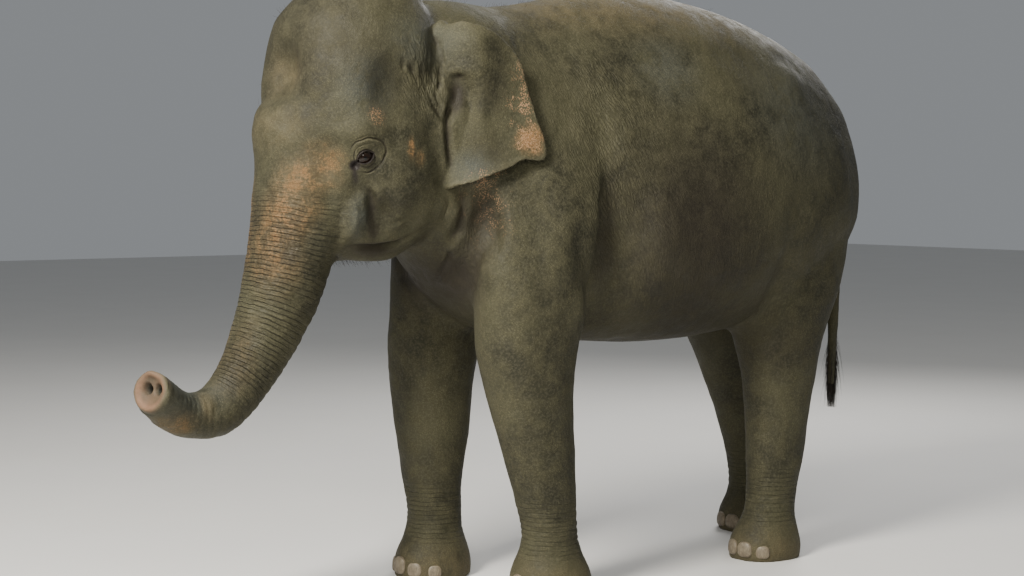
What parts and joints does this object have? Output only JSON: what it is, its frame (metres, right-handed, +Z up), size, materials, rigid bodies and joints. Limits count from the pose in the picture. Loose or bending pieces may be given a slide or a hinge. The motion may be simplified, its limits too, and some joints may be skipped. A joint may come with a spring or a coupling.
{
  "type": "asian elephant",
  "caption": "Life-size still model of an adult female Asian elephant, standing, with its trunk lowered and its tip curled forward, small folded ears and a tufted tail.",
  "frame": {"origin": "On the floor, under the middle of the whole animal's box.", "axes": "+Z up; the elephant faces -Y, so +Y runs from its trunk to its tail; +X is its left side."},
  "size_m": [1.204, 3.4896, 2.3905],
  "materials": {
    "skin": "wrinkled, dry, dusty matt skin",
    "nail": "smooth, dull horn",
    "eye": "wet and shiny",
    "hair": "coarse, wiry, slightly shiny hair"
  },
  "bodies": {
    "root": {"head": "skin", "lower_jaw": "skin", "neck": "skin", "chest": "skin", "barrel": "skin", "hindquarters": "skin", "foreleg_left_upper": "skin", "foreleg_right_upper": "skin", "foreleg_left_lower": "skin", "foreleg_right_lower": "skin", "forefoot_left": "skin", "forefoot_right": "skin", "hindleg_left_upper": "skin", "hindleg_right_upper": "skin", "hindleg_left_lower": "skin", "hindleg_right_lower": "skin", "hindfoot_left": "skin", "hindfoot_right": "skin", "trunk_1": "skin", "trunk_2": "skin", "trunk_3": "skin", "trunk_4": "skin", "trunk_tip": "skin", "ear_left": "skin", "ear_right": "skin", "tail_1": "skin", "tail_2": "skin", "tail_3": "skin", "tail_tuft": "hair", "eye_left": "eye", "eye_right": "eye", "nail_fore_left_1": "nail", "nail_fore_left_2": "nail", "nail_fore_left_3": "nail", "nail_fore_left_4": "nail", "nail_fore_left_5": "nail", "nail_fore_right_1": "nail", "nail_fore_right_2": "nail", "nail_fore_right_3": "nail", "nail_fore_right_4": "nail", "nail_fore_right_5": "nail", "nail_hind_left_1": "nail", "nail_hind_left_2": "nail", "nail_hind_left_3": "nail", "nail_hind_left_4": "nail", "nail_hind_right_1": "nail", "nail_hind_right_2": "nail", "nail_hind_right_3": "nail", "nail_hind_right_4": "nail"}
  },
  "joints": []
}
